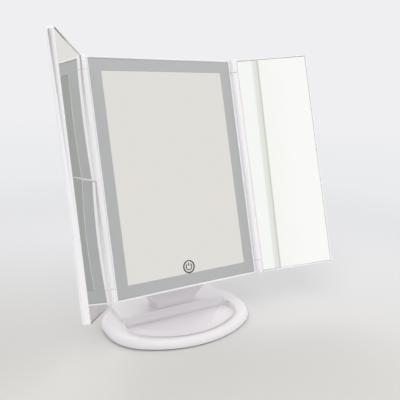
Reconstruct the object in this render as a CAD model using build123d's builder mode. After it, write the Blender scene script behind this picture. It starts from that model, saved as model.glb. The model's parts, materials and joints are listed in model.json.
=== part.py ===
from build123d import *
import os
from math import cos, hypot, radians, sin, sqrt

# A trifold light-up vanity mirror on a tray base, in millimetres.
# +Z is up, +X is to the right of a person in front of it, and -Y is towards that person.
# The origin lies on the table, under the middle of the base.
# The head is drawn as it stands in use: leaning back, left wing folded in, right wing nearly flat.

# Pose in use
tilt_back = 18.0            # lean of the head behind vertical, degrees
left_fold = 58.0            # left wing, folded in from flat, degrees
right_fold = 21.0           # right wing, folded in from flat, degrees
glass_center_y = 18.3       # middle of the centre glass
glass_center_z = 168.0

# Fits and clearances
slide_fit = 0.15            # beside a part that drops or slides in
pin_fit = 0.05              # round a pin or screw that is held
running_fit = 0.08          # round a shaft that turns
end_float = 0.3             # between a turning barrel and its ear

# Centre glass
glass_width = 166.0
glass_height = 241.0
glass_thickness = 3.0
band_width = 12.2           # frosted band all round the clear mirror
icon_y = -101.0             # touch key, below the middle of the glass
icon_radius = 7.0
icon_line = 1.5
icon_arc_radius = 3.9
icon_arc_line = 1.1
icon_gap = 2.6              # break in the arc for the upright bar
icon_bar = 3.6
icon_print = 0.12

# Centre frame and rear cover, depths behind the face of the glass
side_wall = 1.55
end_wall = 1.85
lip_height = 0.6            # frame stands this far in front of the glass
lip_round = 0.5
ledge_width = 2.1
ledge_thickness = 1.2
frame_depth = 7.2
head_depth = 12.0
rear_wall = 1.8
rear_round = 2.4
frame_corner = 3.0
gusset = 11.2               # corner block from the outer wall
corner_screw = 7.2          # corner screws from the outer walls
corner_screw_length = 6.2
corner_sink = 1.5
corner_pilot_rest = 0.6     # left over the pilot hole, under the glass

# Wing hinges
hinge_x = 89.2              # hinge line from the middle of the head
hinge_forward = 1.5         # hinge line in front of the centre glass
barrel_radius = 3.85
ear_web_below_lip = 0.1     # web of the ear behind the front of the frame
barrel_web_inset = 0.2      # web of the barrel in front of the barrel's back
ear_length = 14.5
hinge_pin_radius = 1.5
hinge_pin_reach = 10.0      # into the ear, and as far into the barrel

# Wings, measured from the hinge line
wing_width = 88.8
wing_inner_edge = 4.1
wing_inner_wall = 0.7
wing_lip = 1.2
wing_below_hinge = 0.1      # front lip behind the plane of the hinge line
wing_thickness = 7.5
wing_back_thickness = 2.2
wing_floor = 0.8
wing_corner = 3.0
wing_round = 1.8
mirror_inset = 0.6          # wing mirror behind its own lip
wing_mirror_thickness = 1.8
divider_width = 1.4
divider_y = -1.8            # bar between the two mirrors of the left wing
upper_dish = 2400.0         # radius of the weak magnifier
lower_dish = 1600.0         # radius of the stronger magnifier
pad_size = 12.0
pad_rows = {"left": (0,), "right": (-80, 0, 80)}

# Light channel behind the frosted band
channel_floor = 1.0
channel_wall = 1.2
joint_wall = 2.0            # wall that carries the joint of mirror and band
channel_gap = 0.3
led_board_width = 7.0
led_board_thickness = 1.0
side_board_length = 200.0
end_board_length = 130.0
led_long = 3.5
led_wide = 2.8
led_high = 0.7
side_led_count = 14
end_led_count = 8
led_end_margin = 8.0

# Touch sensor behind the key
touch_board_y = -98.0
touch_board_width = 30.0
touch_board_height = 14.0
touch_board_thickness = 1.2
touch_pad_radius = 4.0
touch_pad_height = 2.0
post_radius = 1.8
touch_post_x = 12.0

# Tilt hinge
pivot_below_center = 88.0
pivot_behind_glass = 24.0
shaft_radius = 3.0
knuckle_radius = 8.8
knuckle_half_length = 30.0
washer_space = 1.0          # between knuckle and cheek
washer_float = 0.05
washer_radius = 8.0
cheek_radius = 9.0
cheek_outer = 44.0
cheek_round = 2.5
cheek_foot_inset = 1.0
cap_radius = 5.0
cap_depth = 1.5
bracket_width = 58.0
bracket_height = 24.0
bracket_thickness = 3.0
bracket_web = 12.0
bracket_screw_x = 24.0
bracket_screw_y = 8.5
bracket_screw_length = 4.3
bracket_pilot_depth = 2.6

# Base plan
base_half_width = 85.0
base_front = -53.0
base_rear = 53.0
base_front_radius = 114.0
base_corner_radius = 48.0
base_rear_corner = 34.0
pocket_half_width = 66.0
pocket_front = -43.0
pocket_rear = 10.0
pocket_front_radius = 85.0
pocket_corner_radius = 24.0
pocket_rear_corner = 8.0
platform_rear = 50.5

# Base heights above the table
foot_height = 1.0
cover_top = 2.6
pocket_floor = 4.0
rim_hollow_step = 5.4
rim_top = 10.0
platform_top = 16.0
base_wall = 2.0
rim_hollow_inset = 4.5
platform_roof = 1.6
rim_round = 6.5
skirt_round = 1.8
platform_round = 1.6

# Feet and screws
foot_radius = 6.0
foot_recess = 0.6
foot_chamfer = 0.3
front_foot_inset = 35.0      # from the base's widest point
front_foot_from_front = 29.0
rear_foot_inset = 23.0
rear_foot_from_rear = 15.0
front_foot_x = base_half_width - front_foot_inset
front_foot_y = base_front + front_foot_from_front
rear_foot_x = base_half_width - rear_foot_inset
rear_foot_y = base_rear - rear_foot_from_rear
foot_places = [
    (0, 0),
    (-front_foot_x, front_foot_y),
    (front_foot_x, front_foot_y),
    (-rear_foot_x, rear_foot_y),
    (rear_foot_x, rear_foot_y),
]
screw_radius = 1.1
screw_head_radius = 2.1
screw_head_height = 1.3
boss_radius = 2.9
front_screw_inset = 5.0
side_screw_inset = 10.0
side_screw_row = 2.0
rear_screw_inset = 13.0
rear_screw_row = 22.0
side_screw_x = base_half_width - side_screw_inset
rear_screw_x = base_half_width - rear_screw_inset
base_screw_places = [
    (0, base_front + front_screw_inset),
    (-side_screw_x, side_screw_row),
    (side_screw_x, side_screw_row),
    (-rear_screw_x, rear_screw_row),
    (rear_screw_x, rear_screw_row),
]
base_screw_seat = 2.4       # underside of the screw head's seat
base_screw_length = 4.6
collar_top = 3.6

# Battery bay for four cells in two rows
cell_diameter = 10.5
cell_length = 44.5
cell_side_gap = 0.6
contact_room = 3.0
bay_wall = 1.2
bay_front = 23.5
bay_top = 14.2
bay_frame = 3.8             # thick rim round the bay, above the table
bay_frame_margin = 2.4
door_thickness = 2.0
door_lap = 1.0
door_travel = 6.0
rib_count = 5              # grip grooves at the door's free end
rib_pitch = 2.4
rib_width = 1.2
rib_depth = 0.5
rib_from_end = 8.0
rib_from_side = 4.0
tab_reach = 1.2
tab_length = 8.0
tab_places = (-40.0, 0.0, 34.0)
tab_low = 1.8
tab_high = 2.6
contact_thickness = 0.4
contact_size = 8.0
contact_bump = 0.8
contact_bump_radius = 1.6

# Neck, one entry for each section: height, half width, half depth, middle in Y, corner radius
neck_sections = [
    (16.0, 27.0, 10.5, 24.0, 8.0),
    (22.0, 29.0, 10.0, 22.9, 7.6),
    (35.0, 39.0, 9.4, 20.4, 6.8),
    (48.0, 44.5, 9.0, 17.8, 6.0),
    (62.0, 45.0, 9.0, 15.6, 5.0),
]
neck_wall = 2.0
parting_behind_middle = 3.0
neck_screw_places = [(-17, 19.5), (17, 19.5)]
neck_screw_length = 7.0
neck_boss_height = 5.0
board_pilot_depth = 6.0
shell_pilot_depth = 7.0
shell_screw_places = [(-34, 47), (34, 47)]
shell_screw_seat = 25.0
shell_screw_length = 9.0
shell_boss_meet = 21.5      # Y where the bosses of the two neck shells meet

# Power board in the neck
board_width = 34.0
board_low = 21.2
board_high = 46.0
board_front = 22.5
board_thickness = 1.6
board_screw_length = 6.6
board_post_places = [(-12, 25), (12, 25), (-12, 43), (12, 43)]
usb_z = 28.0
usb_width = 9.0
usb_height = 3.2
usb_wall = 0.35
usb_mouth = 30.9
tongue_width = 6.7
tongue_thickness = 0.7
tongue_recess = 1.0
switch_z = 38.0
switch_width = 9.0
switch_height = 4.4
switch_depth = 2.3
knob_width = 3.0
knob_height = 2.4
knob_end = 30.2
knob_round = 0.4
switch_travel = 3.0

# Planes that carry the head
lean = radians(tilt_back)
panel_up = Vector(0, sin(lean), cos(lean))
panel_out = Vector(0, -cos(lean), sin(lean))
panel = Plane(origin=(0, glass_center_y, glass_center_z), x_dir=(1, 0, 0), z_dir=panel_out)
panel_back = Plane(origin=panel.origin, x_dir=(-1, 0, 0), z_dir=-panel_out)
pivot = panel.from_local_coords(Vector(0, -pivot_below_center, -pivot_behind_glass))

# Half sizes of the head
half_glass_x = glass_width / 2
half_glass_y = glass_height / 2
half_clear_x = half_glass_x - band_width
half_clear_y = half_glass_y - band_width
half_head_x = half_glass_x + slide_fit + side_wall
half_head_y = half_glass_y + slide_fit + end_wall
barrel_half = half_head_y - ear_length - end_float
corner_screws = [(sx * (half_head_x - corner_screw), sy * (half_head_y - corner_screw))
                 for sx in (-1, 1) for sy in (-1, 1)]
bracket_screws = [(sx * bracket_screw_x, sy * bracket_screw_y - pivot_below_center)
                  for sx in (-1, 1) for sy in (-1, 1)]

# Levels of the wings, along the normal of a wing plane
wing_front = -wing_below_hinge
wing_rear = wing_front - wing_thickness
wing_seam = wing_rear + wing_back_thickness
wing_mirror_face = wing_front - mirror_inset
wing_floor_top = wing_seam + wing_floor
mirror_inner = wing_inner_edge + wing_inner_wall + slide_fit
mirror_outer = wing_width - wing_lip - slide_fit
mirror_end = half_head_y - wing_lip - slide_fit
divider_half = divider_width / 2 + slide_fit
wing_mirrors = {
    "left": [
        ("left_lower_mirror", -mirror_end, divider_y - divider_half, lower_dish),
        ("left_upper_mirror", divider_y + divider_half, mirror_end, upper_dish),
    ],
    "right": [("right_mirror", -mirror_end, mirror_end, 0.0)],
}

# Levels of the light channel, along the panel's normal
channel_rear = -head_depth + rear_wall + channel_gap
channel_x = half_head_x - rear_wall - channel_gap
channel_y = half_head_y - rear_wall - channel_gap
led_seat = channel_rear + channel_floor
joint_half = joint_wall / 2

# Battery bay and door
bay_half = cell_length + contact_room
bay_rear = bay_front + 2 * (cell_diameter + cell_side_gap)
cell_rows = [bay_front + (cell_diameter + cell_side_gap) * (row + 0.5) for row in (0, 1)]
cell_axis = foot_height + door_thickness + slide_fit + cell_diameter / 2
door_top = foot_height + door_thickness
door_x = bay_half + door_lap
door_front = bay_front - door_lap
door_rear = bay_rear + door_lap
roof_under = platform_top - platform_roof


def save(builder, name):
    """Label a finished piece and write it to its own file."""
    builder.part.label = name
    export_step(builder.part, f"parts/{name}.step")


def block(plane, x, y, z, mode=Mode.ADD):
    """Block between two values on each axis of a plane."""
    center = Location(((x[0] + x[1]) / 2, (y[0] + y[1]) / 2, (z[0] + z[1]) / 2))
    with Locations(plane.location * center):
        Box(x[1] - x[0], y[1] - y[0], z[1] - z[0], mode=mode)


def mid_block(plane, half_x, half_y, z, mode=Mode.ADD):
    """Block centred on a plane, between two heights over it."""
    block(plane, (-half_x, half_x), (-half_y, half_y), z, mode)


def slab(plane, half_x, half_y, z, corner):
    """Centred plate with round corners between two heights over a plane."""
    with BuildSketch(plane.offset(z[0])) as outline:
        RectangleRounded(2 * half_x, 2 * half_y, corner)
    extrude(outline.sketch, amount=z[1] - z[0])


def rods(plane, places, radius, z, mode=Mode.ADD):
    """Round bars or holes between two heights over a plane."""
    with BuildSketch(plane.offset(z[0])) as outline:
        with Locations(*places):
            Circle(radius)
    extrude(outline.sketch, amount=z[1] - z[0], mode=mode)


def screws(plane, places, seat, length):
    """Pan-head screws: the shank points along the plane's normal, the head is behind its seat."""
    rods(plane, places, screw_radius - pin_fit, (seat, seat + length))
    rods(plane, places, screw_head_radius, (seat - screw_head_height, seat))


def pivot_bar(radius, start, end, mode=Mode.ADD):
    """Round bar or bore on the tilt axis."""
    axis = Plane(origin=(0, pivot.Y, pivot.Z), x_dir=(0, 1, 0), z_dir=(1, 0, 0))
    rods(axis, [(0, 0)], radius, (start, end), mode)


def wing_plane(side, fold):
    """Plane of a wing: origin on the hinge line, Z out of its mirror, X to the right."""
    turn = radians(fold)
    origin = panel.from_local_coords(Vector(side * hinge_x, 0, hinge_forward))
    normal = panel_out * cos(turn) + Vector(1, 0, 0) * (-side * sin(turn))
    across = Vector(1, 0, 0) * cos(turn) + panel_out * (side * sin(turn))
    return Plane(origin=origin, x_dir=across, z_dir=normal)


def span(side, near, far):
    """Range along a wing's X axis between two distances from its hinge line."""
    return (near, far) if side > 0 else (-far, -near)


def d_outline(half_width, front, rear, front_radius, corner_radius, rear_corner, shrink):
    """Half-moon plan: a long front arc, tangent corner arcs and a straight rear edge."""
    center_y = front + front_radius
    corner_x = half_width - corner_radius
    drop = sqrt((front_radius - corner_radius) ** 2 - corner_x ** 2)
    corner_y = center_y - drop
    reach = (front_radius - shrink) / (front_radius - corner_radius)
    joint_x = corner_x * reach
    joint_y = center_y - drop * reach
    side_x = half_width - shrink
    small = corner_radius - shrink
    turn_x = (joint_x - corner_x) / small + 1
    turn_y = (joint_y - corner_y) / small
    turn = hypot(turn_x, turn_y)
    via_x = corner_x + small * turn_x / turn
    via_y = corner_y + small * turn_y / turn
    rear_y = rear - shrink
    back = rear_corner - shrink
    diagonal = back * (1 - sqrt(0.5))
    with BuildSketch(Plane.XY) as plan:
        with BuildLine():
            ThreePointArc((-joint_x, joint_y), (0, front + shrink), (joint_x, joint_y))
            for s in (-1, 1):
                ThreePointArc((s * joint_x, joint_y), (s * via_x, via_y), (s * side_x, corner_y))
                Line((s * side_x, corner_y), (s * side_x, rear_y - back))
                ThreePointArc(
                    (s * side_x, rear_y - back),
                    (s * (side_x - diagonal), rear_y - diagonal),
                    (s * (side_x - back), rear_y),
                )
            Line((back - side_x, rear_y), (side_x - back, rear_y))
        make_face()
    return plan.sketch


def base_plan(shrink):
    """Outline of the base."""
    return d_outline(base_half_width, base_front, base_rear, base_front_radius,
                     base_corner_radius, base_rear_corner, shrink)


def pocket_plan(shrink):
    """Outline of the tray pocket."""
    return d_outline(pocket_half_width, pocket_front, pocket_rear, pocket_front_radius,
                     pocket_corner_radius, pocket_rear_corner, shrink)


def platform_plan(shrink):
    """Outline of the raised platform behind the tray."""
    depth = platform_rear - pocket_rear - 2 * shrink
    with BuildSketch(Plane.XY) as plan:
        with Locations((0, (platform_rear + pocket_rear) / 2)):
            RectangleRounded(2 * (pocket_half_width - shrink), depth, pocket_rear_corner - shrink)
    return plan.sketch


def neck_solid(shrink, low, high):
    """Flaring neck body between two heights, shrunk on all sides."""
    with BuildPart() as body:
        for height, half_width, half_depth, middle, corner in neck_sections:
            with BuildSketch(Plane.XY.offset(height)):
                with Locations((0, middle)):
                    RectangleRounded(
                        2 * (half_width - shrink),
                        2 * (half_depth - shrink),
                        corner - shrink,
                    )
        loft()
        keep = neck_sections[-1][1] * 2
        block(Plane.XY, (-keep, keep), (-keep, keep), (low, high), Mode.INTERSECT)
    return body.part


os.makedirs("parts", exist_ok=True)

# Base top shell: rounded rim, tray pocket and raised platform, hollow below
with BuildPart() as base_top_shell:
    extrude(Plane.XY.offset(foot_height) * base_plan(0), amount=rim_top - foot_height)
    rim_edge = base_top_shell.faces().sort_by(Axis.Z)[-1].edges()
    skirt_edge = base_top_shell.faces().sort_by(Axis.Z)[0].edges()
    fillet(rim_edge, rim_round)
    fillet(skirt_edge, skirt_round)
    extrude(Plane.XY.offset(pocket_floor) * platform_plan(0), amount=platform_top - pocket_floor)
    platform_edge = base_top_shell.faces().sort_by(Axis.Z)[-1].edges()
    fillet(platform_edge, platform_round)
    extrude(Plane.XY.offset(pocket_floor) * pocket_plan(0), amount=platform_top,
            mode=Mode.SUBTRACT)
    # Hollow for the bottom cover, then the rim in two steps, then the platform
    extrude(Plane.XY * base_plan(base_wall), amount=cover_top, mode=Mode.SUBTRACT)
    rim_levels = (
        (cover_top, rim_hollow_step, base_wall),
        (rim_hollow_step, rim_top - base_wall, rim_hollow_inset),
    )
    for low, high, inset in rim_levels:
        with BuildSketch(Plane.XY.offset(low)):
            add(base_plan(inset))
            add(pocket_plan(-base_wall), mode=Mode.SUBTRACT)
            with Locations((0, (pocket_rear + base_rear) / 2)):
                Rectangle(
                    2 * (pocket_half_width + base_wall),
                    base_rear - pocket_rear + base_wall,
                    mode=Mode.SUBTRACT,
                )
        extrude(amount=high - low, mode=Mode.SUBTRACT)
    extrude(Plane.XY.offset(cover_top) * platform_plan(base_wall),
            amount=roof_under - cover_top, mode=Mode.SUBTRACT)
    # Screw bosses in the rim, and screw holes up into the neck
    rods(Plane.XY, base_screw_places, boss_radius, (collar_top, rim_top - base_wall))
    rods(Plane.XY, base_screw_places, screw_radius, (collar_top, rim_top - base_wall),
         Mode.SUBTRACT)
    rods(Plane.XY, neck_screw_places, screw_radius, (roof_under, platform_top), Mode.SUBTRACT)
save(base_top_shell, "base_top_shell")

# Bottom cover: plate in the skirt, screw collars, and the battery bay with its door recess
frame_x = (-door_x - bay_frame_margin, door_x + door_travel + bay_frame_margin)
frame_y = (door_front - tab_reach - bay_frame_margin, door_rear + tab_reach + slide_fit)
with BuildPart() as base_bottom_cover:
    extrude(Plane.XY.offset(foot_height) * base_plan(base_wall + slide_fit),
            amount=cover_top - foot_height)
    rods(Plane.XY, base_screw_places, boss_radius, (foot_height, collar_top))
    block(Plane.XY, frame_x, frame_y, (cover_top, bay_frame))
    block(Plane.XY, (-bay_half - bay_wall, bay_half + bay_wall),
          (bay_front - bay_wall, bay_rear + bay_wall), (cover_top, bay_top))
    block(Plane.XY, (-bay_half, bay_half), (bay_front, bay_rear), (0, bay_top), Mode.SUBTRACT)
    block(Plane.XY, (-door_x - slide_fit, door_x + door_travel + slide_fit),
          (door_front - slide_fit, door_rear + slide_fit), (0, door_top + slide_fit),
          Mode.SUBTRACT)
    # Keyways of the door tabs: a slot to slide in and a notch to drop out of
    tab_y = (door_front - tab_reach - slide_fit, door_rear + tab_reach + slide_fit)
    for tab in tab_places:
        near = tab - tab_length / 2 - slide_fit
        far = tab + tab_length / 2 + slide_fit
        block(Plane.XY, (near, far + door_travel), tab_y,
              (tab_low - slide_fit, tab_high + slide_fit), Mode.SUBTRACT)
        block(Plane.XY, (near + door_travel, far + door_travel), tab_y,
              (0, tab_high + slide_fit), Mode.SUBTRACT)
    # Screw holes, sunk heads and foot recesses
    rods(Plane.XY, base_screw_places, screw_radius + slide_fit, (foot_height, collar_top),
         Mode.SUBTRACT)
    rods(Plane.XY, base_screw_places, screw_head_radius + slide_fit, (0, base_screw_seat),
         Mode.SUBTRACT)
    rods(Plane.XY, foot_places, foot_radius, (0, foot_height + foot_recess), Mode.SUBTRACT)
save(base_bottom_cover, "base_bottom_cover")

with BuildPart() as rubber_feet:
    rods(Plane.XY, foot_places, foot_radius - pin_fit, (0, foot_height + foot_recess))
    chamfer(rubber_feet.faces().group_by(Axis.Z)[0].edges(), foot_chamfer)
save(rubber_feet, "rubber_feet")

with BuildPart() as base_screws:
    screws(Plane.XY, base_screw_places, base_screw_seat, base_screw_length)
save(base_screws, "base_screws")

with BuildPart() as neck_screws:
    screws(Plane.XY, neck_screw_places, roof_under, neck_screw_length)
save(neck_screws, "neck_screws")

# Battery door with six tabs and grip grooves
with BuildPart() as battery_door:
    block(Plane.XY, (-door_x, door_x), (door_front, door_rear), (foot_height, door_top))
    for tab in tab_places:
        block(Plane.XY, (tab - tab_length / 2, tab + tab_length / 2),
              (door_front - tab_reach, door_rear + tab_reach), (tab_low, tab_high))
    for rib in range(rib_count):
        rib_x = door_x - rib_from_end - rib_pitch * rib
        block(Plane.XY, (rib_x - rib_width / 2, rib_x + rib_width / 2),
              (bay_front + rib_from_side, bay_rear - rib_from_side),
              (foot_height, foot_height + rib_depth), Mode.SUBTRACT)
save(battery_door, "battery_door")

# Contact plates at the four ends of the two cell rows
with BuildPart() as battery_contacts:
    for side in (-1, 1):
        for row in cell_rows:
            near = side * (bay_half - contact_thickness)
            far = side * bay_half
            block(Plane.XY, (min(near, far), max(near, far)),
                  (row - contact_size / 2, row + contact_size / 2),
                  (cell_axis - contact_size / 2, cell_axis + contact_size / 2))
            end = Plane(origin=(0, row, cell_axis), x_dir=(0, 1, 0), z_dir=(1, 0, 0))
            tip = side * (bay_half - contact_thickness - contact_bump)
            rods(end, [(0, 0)], contact_bump_radius, (min(tip, near), max(tip, near)))
save(battery_contacts, "battery_contacts")

# Neck shells, parted along a leaning plane behind the middle
neck_low = neck_sections[0][0]
neck_high = neck_sections[-1][0]
cavity_low = neck_low + neck_wall
cavity_high = neck_high - neck_wall
lean_back = (neck_sections[0][3] - neck_sections[-1][3]) / (neck_high - neck_low)
parting_low = neck_sections[0][3] + parting_behind_middle - lean_back * neck_wall
parting_high = neck_sections[-1][3] + parting_behind_middle + lean_back * neck_wall
rear_limit = 2 * base_rear
neck_outer = neck_solid(0, neck_low, neck_high)
neck_cavity = neck_solid(neck_wall, cavity_low, cavity_high)
with BuildPart() as rear_half:
    with BuildSketch(Plane.YZ.offset(-base_half_width)):
        with BuildLine():
            Polyline(
                (parting_low, cavity_low),
                (rear_limit, cavity_low),
                (rear_limit, cavity_high),
                (parting_high, cavity_high),
                close=True,
            )
        make_face()
    extrude(amount=2 * base_half_width)

# Cheek that carries the shaft: round head on a broad foot
neck_middle = neck_sections[-1][3]
neck_depth = neck_sections[-1][2] - cheek_foot_inset
cheek_inner = knuckle_half_length + washer_space
cheeks = []
for side in (-1, 1):
    with BuildPart() as cheek:
        with BuildSketch(Plane.YZ.offset(min(side * cheek_inner, side * cheek_outer))):
            with BuildLine():
                Polyline(
                    (neck_middle - neck_depth, neck_high - neck_wall),
                    (neck_middle + neck_depth, neck_high - neck_wall),
                    (pivot.Y + cheek_radius, pivot.Z),
                    (pivot.Y - cheek_radius, pivot.Z),
                    close=True,
                )
            make_face()
            with Locations((pivot.Y, pivot.Z)):
                Circle(cheek_radius)
        extrude(amount=cheek_outer - cheek_inner)
        outer_face = cheek.faces().sort_by(Axis.X)[-1 if side > 0 else 0]
        fillet(outer_face.edges(), cheek_round)
    cheeks.append(cheek.part)

board_rear = board_front + board_thickness
with BuildPart() as neck_bosses:
    rods(Plane.XY, neck_screw_places, boss_radius, (neck_low, cavity_low + neck_boss_height))
    rods(Plane.XZ, board_post_places, boss_radius, (-board_front, 0))
    rods(Plane.XZ, shell_screw_places, boss_radius, (-shell_boss_meet, 0))
    add(neck_outer, mode=Mode.INTERSECT)

with BuildPart() as neck_front_shell:
    add(neck_outer)
    add(neck_cavity, mode=Mode.SUBTRACT)
    add(rear_half.part, mode=Mode.SUBTRACT)
    add(neck_bosses.part)
    for cheek_part in cheeks:
        add(cheek_part)
    pivot_bar(shaft_radius + pin_fit, -cheek_outer, cheek_outer, Mode.SUBTRACT)
    pivot_bar(cap_radius + pin_fit, -cheek_outer, cap_depth - cheek_outer, Mode.SUBTRACT)
    pivot_bar(cap_radius + pin_fit, cheek_outer - cap_depth, cheek_outer, Mode.SUBTRACT)
    # Pilot holes of the neck, board and shell screws
    rods(Plane.XY, neck_screw_places, screw_radius, (neck_low, cavity_low + neck_boss_height), Mode.SUBTRACT)
    rods(Plane.XZ, board_post_places, screw_radius, (-board_front, board_pilot_depth - board_front),
         Mode.SUBTRACT)
    rods(Plane.XZ, shell_screw_places, screw_radius, (-shell_boss_meet, shell_pilot_depth - shell_boss_meet),
         Mode.SUBTRACT)
save(neck_front_shell, "neck_front_shell")

# Rear cover of the neck with the openings for the socket and the switch
with BuildPart() as neck_rear_cover:
    add(neck_outer)
    add(neck_cavity, mode=Mode.SUBTRACT)
    with BuildPart(mode=Mode.PRIVATE) as cover_bosses:
        rods(Plane.XZ, shell_screw_places, boss_radius, (-rear_limit, -shell_boss_meet))
        add(neck_outer, mode=Mode.INTERSECT)
    add(rear_half.part, mode=Mode.INTERSECT)
    add(cover_bosses.part)
    rods(Plane.XZ, shell_screw_places, screw_radius + slide_fit,
         (-rear_limit, -shell_boss_meet), Mode.SUBTRACT)
    rods(Plane.XZ, shell_screw_places, screw_head_radius + slide_fit,
         (-rear_limit, -shell_screw_seat), Mode.SUBTRACT)
    with BuildSketch(Plane.XZ.offset(-rear_limit)):
        with Locations((0, usb_z)):
            SlotOverall(usb_width + 2 * slide_fit, usb_height + 2 * slide_fit)
        with Locations((0, switch_z)):
            Rectangle(knob_width + switch_travel + 2 * slide_fit, knob_height + 2 * slide_fit)
    extrude(amount=rear_limit - board_rear, mode=Mode.SUBTRACT)
save(neck_rear_cover, "neck_rear_cover")

with BuildPart() as neck_cover_screws:
    screws(Plane.XZ, shell_screw_places, -shell_screw_seat, shell_screw_length)
save(neck_cover_screws, "neck_cover_screws")

# Power board with its screws, socket and switch
with BuildPart() as power_board:
    block(Plane.XY, (-board_width / 2, board_width / 2), (board_front, board_rear),
          (board_low, board_high))
    rods(Plane.XZ, board_post_places, screw_radius + pin_fit, (-board_rear, -board_front),
         Mode.SUBTRACT)
save(power_board, "power_board")

with BuildPart() as board_screws:
    screws(Plane.XZ, board_post_places, -board_rear, board_screw_length)
save(board_screws, "board_screws")

with BuildPart() as usb_socket:
    with BuildSketch(Plane.XZ.offset(-usb_mouth)):
        with Locations((0, usb_z)):
            SlotOverall(usb_width, usb_height)
    extrude(amount=usb_mouth - board_rear)
    with BuildSketch(Plane.XZ.offset(-usb_mouth)):
        with Locations((0, usb_z)):
            SlotOverall(usb_width - 2 * usb_wall, usb_height - 2 * usb_wall)
    extrude(amount=usb_mouth - board_rear - usb_wall, mode=Mode.SUBTRACT)
save(usb_socket, "usb_socket")

with BuildPart() as usb_tongue:
    block(Plane.XY, (-tongue_width / 2, tongue_width / 2),
          (board_rear + usb_wall, usb_mouth - tongue_recess),
          (usb_z - tongue_thickness / 2, usb_z + tongue_thickness / 2))
save(usb_tongue, "usb_tongue")

switch_rear = board_rear + switch_depth
knob_x = -switch_travel / 2
with BuildPart() as switch_body:
    block(Plane.XY, (-switch_width / 2, switch_width / 2), (board_rear, switch_rear),
          (switch_z - switch_height / 2, switch_z + switch_height / 2))
save(switch_body, "switch_body")

with BuildPart() as switch_slider:
    block(Plane.XY, (knob_x - knob_width / 2, knob_x + knob_width / 2),
          (switch_rear + pin_fit, knob_end),
          (switch_z - knob_height / 2, switch_z + knob_height / 2))
    fillet(switch_slider.faces().sort_by(Axis.Y)[-1].edges(), knob_round)
save(switch_slider, "switch_slider")

# Tilt hinge: shaft and caps in the cheeks, washers beside the knuckle of the bracket
shaft_half = cheek_outer - cap_depth
with BuildPart() as tilt_shaft:
    pivot_bar(shaft_radius, -shaft_half, shaft_half)
save(tilt_shaft, "tilt_shaft")

with BuildPart() as hinge_caps:
    pivot_bar(cap_radius, -cheek_outer, -shaft_half)
    pivot_bar(cap_radius, shaft_half, cheek_outer)
save(hinge_caps, "hinge_caps")

with BuildPart() as friction_washers:
    washer_near = knuckle_half_length + washer_float
    washer_far = cheek_inner - washer_float
    for start, end in ((-washer_far, -washer_near), (washer_near, washer_far)):
        pivot_bar(washer_radius, start, end)
        pivot_bar(shaft_radius + running_fit, start, end, Mode.SUBTRACT)
save(friction_washers, "friction_washers")

bracket_low = -pivot_below_center - bracket_height / 2
bracket_high = -pivot_below_center + bracket_height / 2
with BuildPart() as tilt_bracket:
    block(panel, (-bracket_width / 2, bracket_width / 2), (bracket_low, bracket_high),
          (-head_depth - bracket_thickness, -head_depth))
    block(panel, (-bracket_width / 2, bracket_width / 2),
          (-pivot_below_center - bracket_web / 2, -pivot_below_center + bracket_web / 2),
          (-pivot_behind_glass, -head_depth - bracket_thickness))
    pivot_bar(knuckle_radius, -knuckle_half_length, knuckle_half_length)
    pivot_bar(shaft_radius + running_fit, -knuckle_half_length, knuckle_half_length,
              Mode.SUBTRACT)
    rods(panel, bracket_screws, screw_radius, (-head_depth - bracket_pilot_depth, -head_depth), Mode.SUBTRACT)
save(tilt_bracket, "tilt_bracket")

# Centre frame: lip, ledge for the glass, corner gussets and four hinge ears
with BuildPart() as center_frame:
    slab(panel, half_head_x, half_head_y, (-frame_depth, lip_height), frame_corner)
    fillet(center_frame.faces().sort_by(Axis(pivot, panel_out))[-1].edges(), lip_round)
    ear_near = half_head_x - side_wall
    for side in (-1, 1):
        for low, high in ((-half_head_y, ear_length - half_head_y),
                          (half_head_y - ear_length, half_head_y)):
            block(panel, span(side, ear_near, hinge_x), (low, high),
                  (hinge_forward - barrel_radius, lip_height - ear_web_below_lip))
            ear = Plane(origin=panel.from_local_coords(Vector(side * hinge_x, 0, hinge_forward)),
                        x_dir=(1, 0, 0), z_dir=panel_up)
            rods(ear, [(0, 0)], barrel_radius, (low, high))
            inner = high if low < 0 else low
            start = min(inner, inner - hinge_pin_reach * (1 if low < 0 else -1))
            rods(ear, [(0, 0)], hinge_pin_radius + pin_fit,
                 (start, start + hinge_pin_reach), Mode.SUBTRACT)
    mid_block(panel, half_head_x - side_wall, half_head_y - end_wall,
              (-glass_thickness, 2 * lip_height), Mode.SUBTRACT)
    mid_block(panel, half_glass_x - ledge_width, half_glass_y - ledge_width,
              (-head_depth, 0), Mode.SUBTRACT)
    mid_block(panel, half_head_x - side_wall, half_head_y - end_wall,
              (-head_depth, -glass_thickness - ledge_thickness), Mode.SUBTRACT)
    for sx in (-1, 1):
        for sy in (-1, 1):
            block(panel, span(sx, half_head_x - gusset, half_head_x - side_wall / 2),
                  span(sy, half_head_y - gusset, half_head_y - end_wall / 2),
                  (-frame_depth, -glass_thickness))
    rods(panel, corner_screws, screw_radius, (-frame_depth, -glass_thickness - corner_pilot_rest),
         Mode.SUBTRACT)
save(center_frame, "center_frame")

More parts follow.
